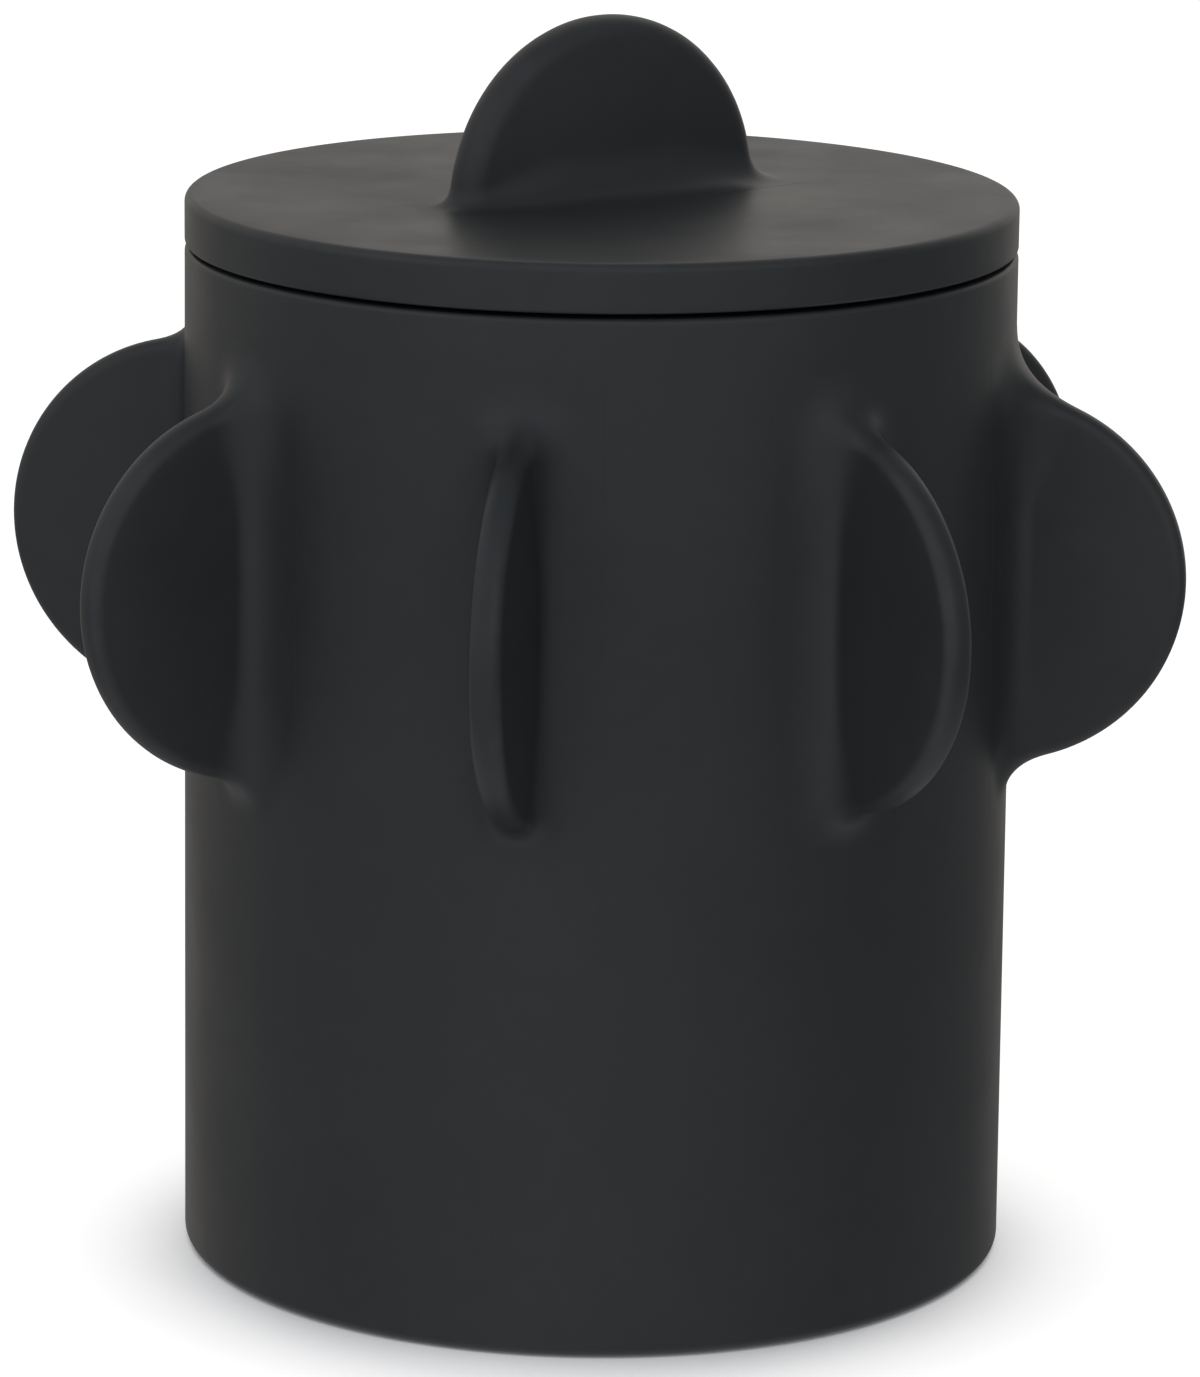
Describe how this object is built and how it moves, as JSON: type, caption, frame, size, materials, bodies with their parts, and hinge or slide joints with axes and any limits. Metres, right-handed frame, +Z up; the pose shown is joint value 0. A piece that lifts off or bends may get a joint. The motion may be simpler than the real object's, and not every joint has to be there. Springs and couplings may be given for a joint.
{
  "type": "sugar bowl",
  "caption": "Cylindrical sugar bowl in matte black stoneware, with half-disc fins round the shoulder and a flat lift-off lid that has a half-disc handle.",
  "frame": {"origin": "on the axis of the bowl, level with the surface that it stands on", "axes": "+Z up along the axis; -X points along fin_1, -Y along fin_3, +X along fin_5 and +Y along fin_7"},
  "size_m": [0.109, 0.109, 0.1141],
  "materials": {
    "outer_glaze": "matte black glaze",
    "inner_glaze": "satin black glaze"
  },
  "bodies": {
    "bowl": {"bowl_wall": "outer_glaze", "bowl_floor": "inner_glaze", "fin_1": "outer_glaze", "fin_2": "outer_glaze", "fin_3": "outer_glaze", "fin_4": "outer_glaze", "fin_5": "outer_glaze", "fin_6": "outer_glaze", "fin_7": "outer_glaze", "fin_8": "outer_glaze"},
    "lid_ring": {"lid_locating_ring": "inner_glaze"},
    "lid_top": {"lid_plate": "outer_glaze", "lid_handle": "outer_glaze"}
  },
  "joints": [
    {"name": "lid_lift", "type": "slide", "parent": "bowl", "child": "lid_ring", "axis": [0, 0, 1], "range_m": [0, 0.08]},
    {"name": "lid_turn", "type": "hinge", "parent": "lid_ring", "child": "lid_top", "pos_m": [0, 0, 0.0932], "axis": [0, 0, 1], "continuous": true}
  ]
}
